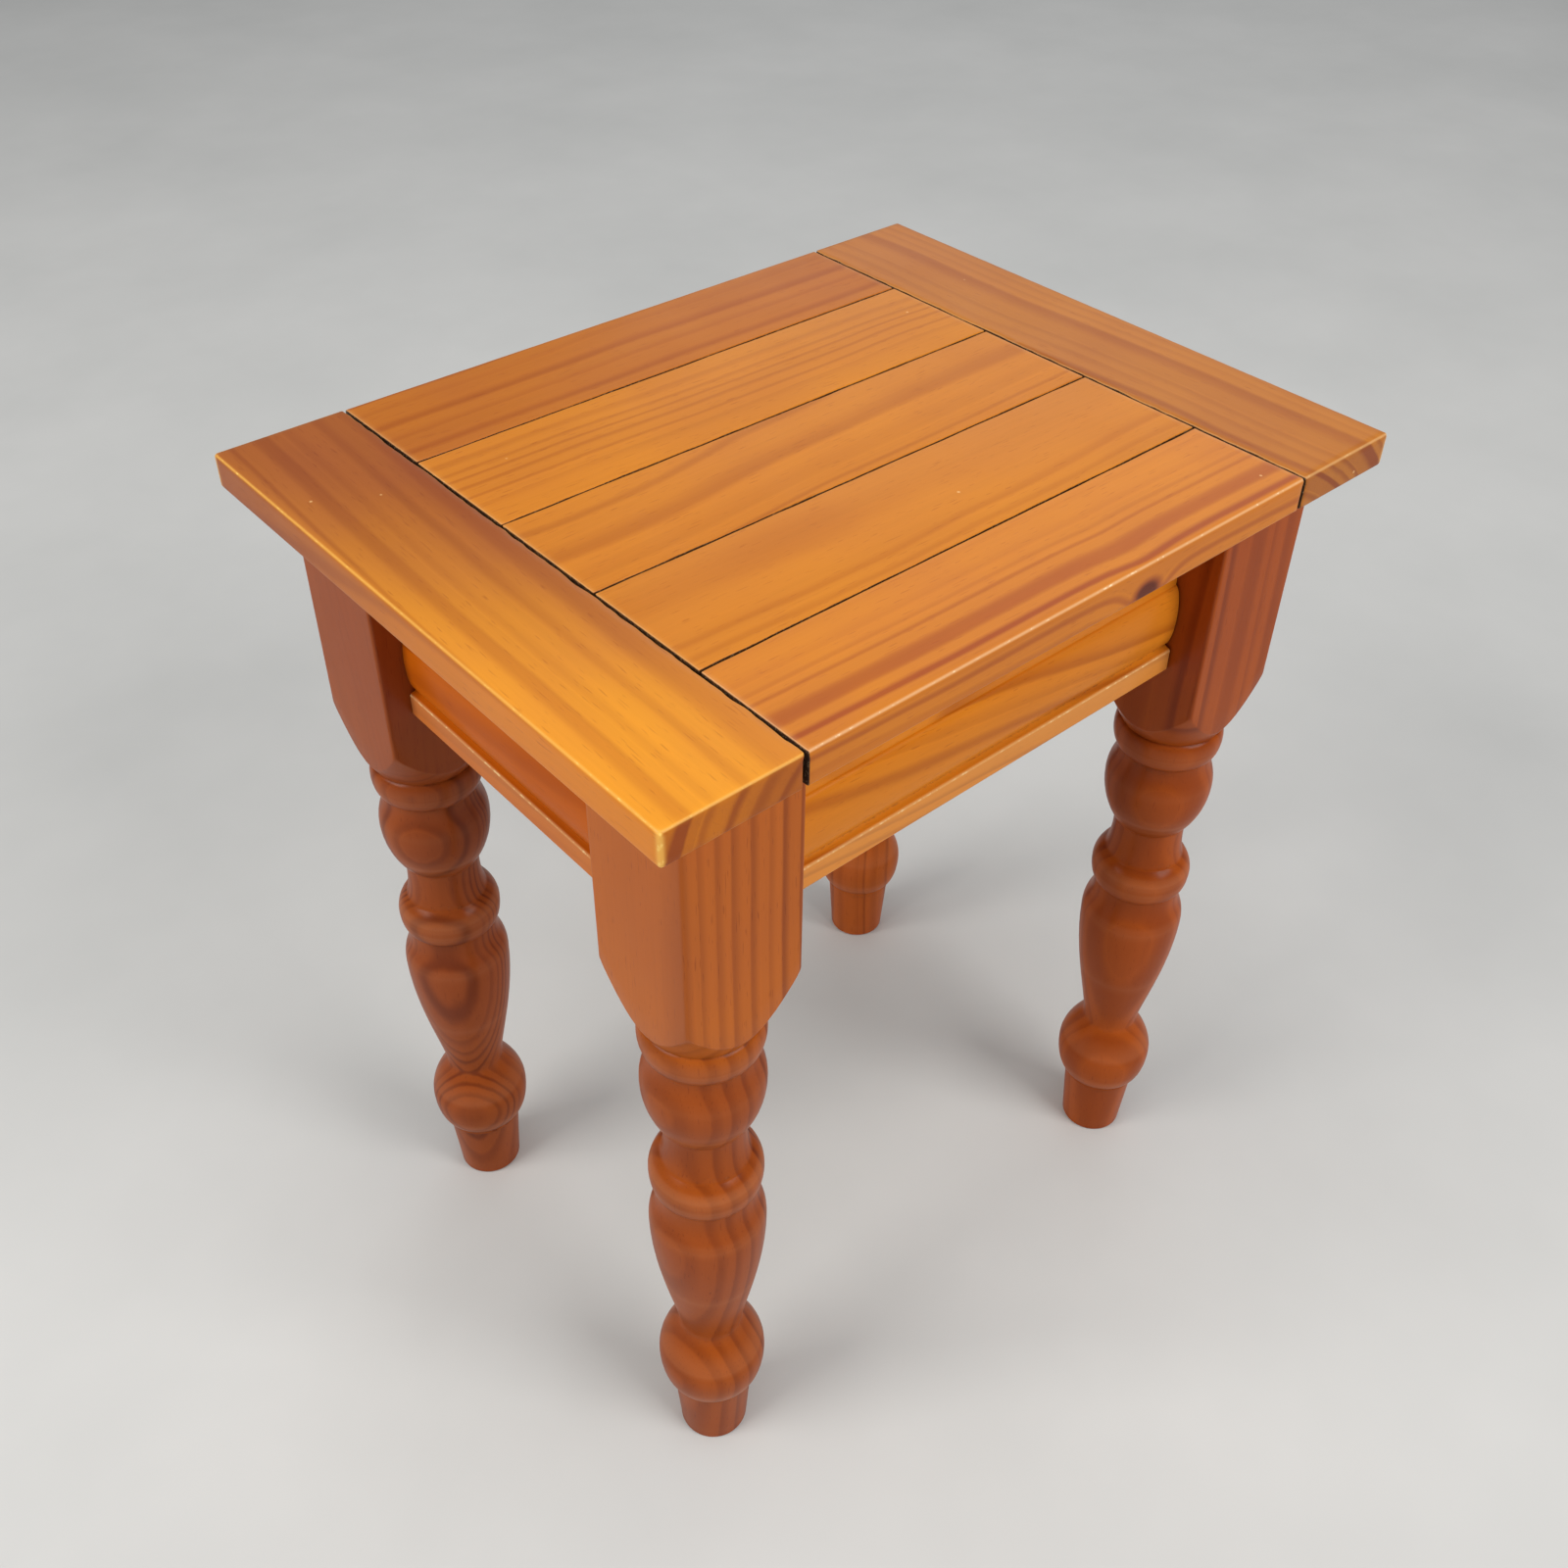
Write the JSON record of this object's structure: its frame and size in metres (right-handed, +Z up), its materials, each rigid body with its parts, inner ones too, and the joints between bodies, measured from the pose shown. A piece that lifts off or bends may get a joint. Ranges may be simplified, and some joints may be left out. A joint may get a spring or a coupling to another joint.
{
  "type": "side table",
  "caption": "Small side table in stained pine: planked top between breadboard ends, turned legs, moulded aprons and a sliding drawer behind a moulded front.",
  "frame": {"origin": "on the floor, under the middle of the top", "axes": "+Z up; X along the planks, +X to the right as seen from the drawer side; -Y is the front, where the drawer opens"},
  "size_m": [0.457, 0.3526, 0.539],
  "materials": {
    "top_pine": "satin lacquer over orange-brown stain",
    "leg_pine": "satin lacquer over red-brown stain",
    "apron_pine": "satin lacquer over orange-brown stain",
    "frame_pine": "planed, unstained",
    "drawer_pine": "sanded, unstained",
    "drawer_plywood": "sanded plywood",
    "beech_dowel": "turned, unstained",
    "steel_fixing": "zinc-plated"
  },
  "bodies": {
    "table": {"top_plank_1": "top_pine", "top_plank_2": "top_pine", "top_plank_3": "top_pine", "top_plank_4": "top_pine", "top_plank_5": "top_pine", "breadboard_end_left": "top_pine", "breadboard_end_right": "top_pine", "leg_front_left": "leg_pine", "leg_back_left": "leg_pine", "leg_front_right": "leg_pine", "leg_back_right": "leg_pine", "apron_left": "apron_pine", "apron_right": "apron_pine", "apron_back": "apron_pine", "front_top_rail": "frame_pine", "front_bottom_rail": "frame_pine", "top_batten_left": "frame_pine", "drawer_runner_left": "frame_pine", "drawer_guide_left": "frame_pine", "drawer_stop_left": "frame_pine", "top_batten_right": "frame_pine", "drawer_runner_right": "frame_pine", "drawer_guide_right": "frame_pine", "drawer_stop_right": "frame_pine", "top_dowel_left_1": "beech_dowel", "top_dowel_left_2": "beech_dowel", "top_dowel_left_3": "beech_dowel", "top_dowel_left_4": "beech_dowel", "top_dowel_left_5": "beech_dowel", "leg_dowel_front_left": "beech_dowel", "leg_dowel_back_left": "beech_dowel", "batten_screw_left_1": "steel_fixing", "batten_screw_left_2": "steel_fixing", "batten_screw_left_3": "steel_fixing", "runner_screw_front_left": "steel_fixing", "runner_screw_back_left": "steel_fixing", "top_dowel_right_1": "beech_dowel", "top_dowel_right_2": "beech_dowel", "top_dowel_right_3": "beech_dowel", "top_dowel_right_4": "beech_dowel", "top_dowel_right_5": "beech_dowel", "leg_dowel_front_right": "beech_dowel", "leg_dowel_back_right": "beech_dowel", "batten_screw_right_1": "steel_fixing", "batten_screw_right_2": "steel_fixing", "batten_screw_right_3": "steel_fixing", "runner_screw_front_right": "steel_fixing", "runner_screw_back_right": "steel_fixing"},
    "drawer": {"drawer_front": "apron_pine", "drawer_side_left": "drawer_pine", "drawer_side_right": "drawer_pine", "drawer_back": "drawer_pine", "drawer_bottom": "drawer_plywood", "drawer_dowel_left_1": "beech_dowel", "drawer_dowel_left_2": "beech_dowel", "drawer_bottom_nail_left": "steel_fixing", "drawer_dowel_right_1": "beech_dowel", "drawer_dowel_right_2": "beech_dowel", "drawer_bottom_nail_right": "steel_fixing"}
  },
  "joints": [
    {"name": "drawer_slide", "type": "slide", "parent": "table", "child": "drawer", "axis": [0, -1, 0], "range_m": [0, 0.15]}
  ]
}
